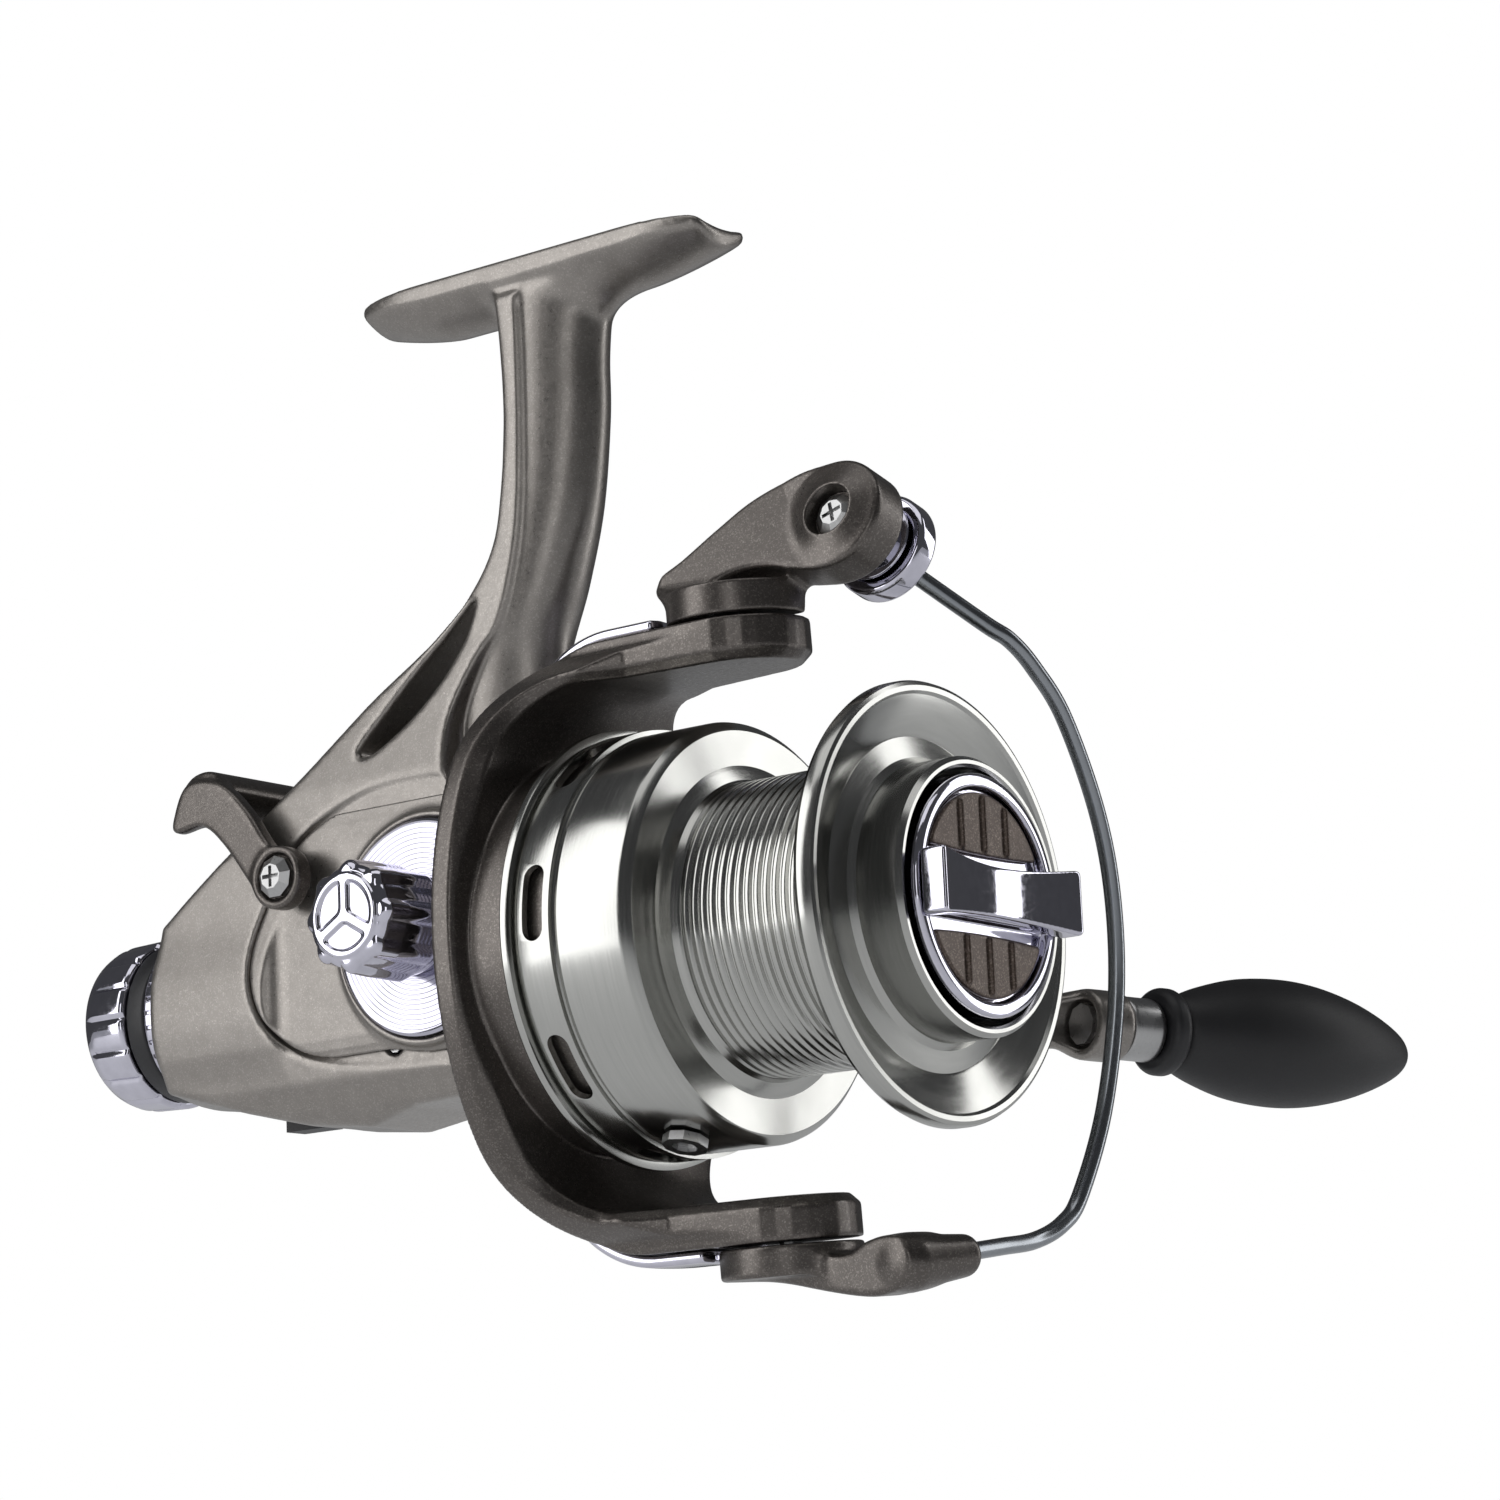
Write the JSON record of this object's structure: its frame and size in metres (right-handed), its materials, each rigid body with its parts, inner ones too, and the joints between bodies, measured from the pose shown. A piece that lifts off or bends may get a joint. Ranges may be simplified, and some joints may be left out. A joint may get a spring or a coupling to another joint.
{
  "type": "spinning fishing reel",
  "caption": "Front-drag spinning reel with a bait-feeder lever: cast frame with rod foot, geared rotor with flip bail, aluminium spool and crank handle with a rubber knob.",
  "frame": {"origin": "middle of the rod seat, the flat strip along the top of the foot", "axes": "+X forward along the spool axis, +Y towards the handle, +Z out of the foot towards the rod"},
  "size_m": [0.1626, 0.1478, 0.1542],
  "materials": {
    "body_paint": "satin warm grey metallic paint with fine flake",
    "rotor_paint": "satin dark brown-grey metallic paint with flake",
    "spool_metal": "turned and polished, fine rings",
    "chrome": "bright violet-tinted chrome",
    "steel": "satin steel",
    "brass": "cut gear brass",
    "wire_steel": "dark polished steel wire",
    "black_plastic": "matte black",
    "rubber": "soft matte black rubber",
    "insert_paint": "brown sparkle paint",
    "felt": "greased felt"
  },
  "bodies": {
    "frame": {"body_frame": "body_paint", "side_cover": "body_paint", "cover_screw_1": "steel", "cover_screw_2": "steel", "cover_screw_3": "steel", "side_trim_disc": "chrome", "rear_index_ring": "chrome", "drive_bearing": "steel", "cover_bushing": "brass", "pinion_bearing": "steel", "one_way_clutch": "steel", "lever_screw_left": "steel", "lever_screw_right": "steel", "feeder_sleeve": "brass", "feeder_felt": "felt", "feeder_washer": "steel", "feeder_spring": "steel"},
    "feeder_knob": {"feeder_knob": "chrome", "feeder_band": "black_plastic"},
    "feeder_lever": {"feeder_lever": "rotor_paint"},
    "anti_reverse_switch": {"anti_reverse_switch": "black_plastic"},
    "handle": {"drive_gear": "brass", "handle_screw_cap": "chrome", "handle_shank": "body_paint", "handle_arm": "body_paint", "knob_spindle": "steel", "knob_collar": "steel"},
    "handle_knob": {"knob_grip": "rubber", "knob_neck": "black_plastic"},
    "oscillating_gear": {"oscillating_gear": "brass"},
    "rotor": {"rotor": "rotor_paint", "pinion_gear": "brass", "rotor_nut": "steel", "arm_cover_upper": "chrome", "arm_cover_lower": "chrome", "bail_pivot_upper": "steel", "bail_pivot_lower": "steel"},
    "bail": {"bail_arm": "rotor_paint", "bail_arm_lower": "rotor_paint", "bail_wire": "wire_steel", "wire_cap": "chrome", "roller_screw": "steel", "roller_bush": "black_plastic"},
    "line_roller": {"line_roller": "chrome"},
    "main_shaft": {"main_shaft": "steel", "oscillating_slider": "steel", "crank_pin": "steel"},
    "spool": {"spool": "spool_metal", "line_clip": "steel", "drag_felt_1": "felt", "drag_washer_keyed": "steel", "drag_felt_2": "felt", "drag_washer_eared": "steel"},
    "drag_knob": {"drag_knob": "chrome", "drag_knob_insert_upper": "insert_paint", "drag_knob_insert_lower": "insert_paint", "drag_knob_grip": "chrome"}
  },
  "joints": [
    {"name": "handle_spin", "type": "hinge", "parent": "frame", "child": "handle", "pos_m": [-0.0155, 0, -0.096], "axis": [0, 1, 0], "continuous": true},
    {"name": "rotor_spin", "type": "hinge", "parent": "frame", "child": "rotor", "pos_m": [0.064, 0, -0.1015], "axis": [1, 0, 0], "continuous": true},
    {"name": "oscillating_gear_spin", "type": "hinge", "parent": "frame", "child": "oscillating_gear", "pos_m": [-0.032, 0, -0.0985], "axis": [0, 1, 0], "continuous": true},
    {"name": "knob_spin", "type": "hinge", "parent": "handle", "child": "handle_knob", "pos_m": [0.0484, 0.066, -0.1111], "axis": [0.3709, 0.9273, -0.0501], "continuous": true},
    {"name": "spool_stroke", "type": "slide", "parent": "frame", "child": "main_shaft", "axis": [1, 0, 0], "range_m": [-0.005, 0.0075]},
    {"name": "spool_spin", "type": "hinge", "parent": "main_shaft", "child": "spool", "pos_m": [0.064, 0, -0.1015], "axis": [1, 0, 0], "continuous": true},
    {"name": "drag_knob_turn", "type": "hinge", "parent": "main_shaft", "child": "drag_knob", "pos_m": [0.064, 0, -0.1015], "axis": [1, 0, 0], "range_deg": [-540, 540]},
    {"name": "bail_flip", "type": "hinge", "parent": "rotor", "child": "bail", "pos_m": [0.0341, 0, -0.1015], "axis": [0, -0.0699, 0.9976], "range_deg": [-105, 0]},
    {"name": "roller_spin", "type": "hinge", "parent": "bail", "child": "line_roller", "pos_m": [0.0513, -0.0001, -0.04717], "axis": [0.02, 0.9688, -0.2469], "continuous": true},
    {"name": "feeder_knob_turn", "type": "hinge", "parent": "frame", "child": "feeder_knob", "pos_m": [0.064, 0, -0.1015], "axis": [1, 0, 0], "range_deg": [-135, 135]},
    {"name": "feeder_lever_flip", "type": "hinge", "parent": "frame", "child": "feeder_lever", "pos_m": [-0.0403, 0, -0.0858], "axis": [0, 1, 0], "range_deg": [-18, 0]},
    {"name": "anti_reverse_flip", "type": "hinge", "parent": "frame", "child": "anti_reverse_switch", "pos_m": [-0.05, 0, -0.1179], "axis": [0, 0, 1], "range_deg": [-35, 0]}
  ],
  "couplings": [
    {"joint": "rotor_spin", "follows": "handle_spin", "ratio": 4.7},
    {"joint": "oscillating_gear_spin", "follows": "handle_spin", "ratio": -0.5}
  ]
}
